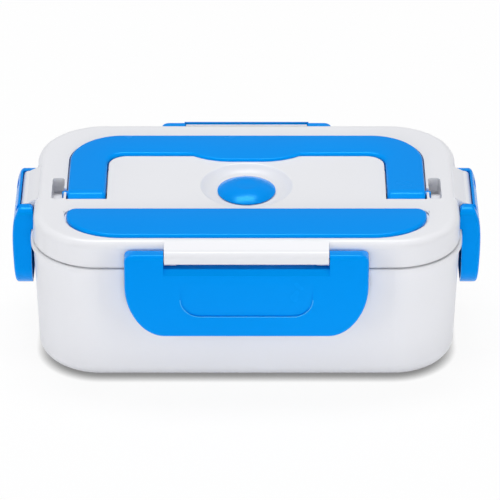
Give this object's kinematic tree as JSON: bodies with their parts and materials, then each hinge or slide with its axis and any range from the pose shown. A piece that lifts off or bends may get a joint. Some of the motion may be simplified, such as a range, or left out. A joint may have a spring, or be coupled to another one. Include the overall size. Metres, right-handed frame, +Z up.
{
  "type": "electric lunch box",
  "caption": "Low white electric lunch box with a lift-off lid held by blue flip clips, a folding blue handle in a channel, a round steam plug and a covered spoon compartment.",
  "frame": {"origin": "middle of the bounding box's underside, on the table under the four feet", "axes": "+X to the right of someone facing the front clip, along the box's length; +Y to the rear, where the mains inlet is; +Z up"},
  "size_m": [0.236, 0.1426, 0.082],
  "materials": {
    "white_shell": "satin moulded",
    "blue_clip": "satin moulded",
    "liner": "fine matt",
    "steel": "brushed",
    "screw_steel": "zinc plated",
    "aluminium": "satin",
    "silicone": "matt silicone",
    "foot_rubber": "matt",
    "black_plastic": "fine matt",
    "brass": "bright plated",
    "lamp": "clear red",
    "dish_plastic": "translucent",
    "dish_lid_plastic": "translucent",
    "wire_red": "matt",
    "wire_blue": "matt"
  },
  "bodies": {
    "base": {"outer_housing": "white_shell", "bottom_cover": "white_shell", "bottom_screws": "screw_steel", "feet": "foot_rubber", "inner_tub": "liner", "plate_seal": "silicone", "heating_plate": "aluminium", "ptc_heater": "aluminium", "heater_clamp": "steel", "clamp_screws": "screw_steel", "thermostat": "black_plastic", "thermal_fuse": "steel", "power_inlet": "black_plastic", "inlet_pins": "brass", "indicator_lens": "lamp", "indicator_led": "lamp", "live_lead": "wire_red", "neutral_lead": "wire_blue", "link_lead": "wire_red"},
    "tray": {"food_tray": "steel"},
    "side_dish": {"side_dish_box": "dish_plastic"},
    "side_dish_cover": {"side_dish_lid": "dish_lid_plastic"},
    "lid": {"lid_shell": "white_shell", "lid_inner_panel": "white_shell", "lid_gasket": "silicone", "vent_seal": "silicone", "spoon": "steel"},
    "vent": {"vent_plug": "blue_clip"},
    "spoon_flap": {"spoon_cover": "blue_clip"},
    "carry_handle": {"handle": "blue_clip"},
    "front_latch": {"front_clip": "blue_clip"},
    "rear_latch": {"rear_clip": "blue_clip"},
    "left_latch": {"left_clip": "blue_clip"},
    "right_latch": {"right_clip": "blue_clip"}
  },
  "joints": [
    {"name": "tray_lift", "type": "slide", "parent": "base", "child": "tray", "axis": [0, 0, 1], "range_m": [0, 0.06]},
    {"name": "side_dish_lift", "type": "slide", "parent": "tray", "child": "side_dish", "axis": [0, 0, 1], "range_m": [0, 0.06]},
    {"name": "side_dish_cover_lift", "type": "slide", "parent": "side_dish", "child": "side_dish_cover", "axis": [0, 0, 1], "range_m": [0, 0.06]},
    {"name": "lid_lift", "type": "slide", "parent": "side_dish_cover", "child": "lid", "axis": [0, 0, 1], "range_m": [0, 0.12]},
    {"name": "vent_press", "type": "slide", "parent": "lid", "child": "vent", "axis": [0, 0, 1], "range_m": [0, 0.005]},
    {"name": "spoon_cover_hinge", "type": "hinge", "parent": "lid", "child": "spoon_flap", "pos_m": [0, -0.0311, 0.0802], "axis": [-1, 0, 0], "range_deg": [0, 100]},
    {"name": "handle_hinge", "type": "hinge", "parent": "lid", "child": "carry_handle", "pos_m": [0, -0.009, 0.0776], "axis": [1, 0, 0], "range_deg": [0, 90]},
    {"name": "front_clip_hinge", "type": "hinge", "parent": "lid", "child": "front_latch", "pos_m": [0, -0.0672, 0.077], "axis": [-1, 0, 0], "range_deg": [0, 100]},
    {"name": "rear_clip_hinge", "type": "hinge", "parent": "lid", "child": "rear_latch", "pos_m": [0, 0.0672, 0.077], "axis": [1, 0, 0], "range_deg": [0, 100]},
    {"name": "left_clip_hinge", "type": "hinge", "parent": "lid", "child": "left_latch", "pos_m": [-0.1112, 0, 0.077], "axis": [0, 1, 0], "range_deg": [0, 100]},
    {"name": "right_clip_hinge", "type": "hinge", "parent": "lid", "child": "right_latch", "pos_m": [0.1112, 0, 0.077], "axis": [0, -1, 0], "range_deg": [0, 100]}
  ]
}
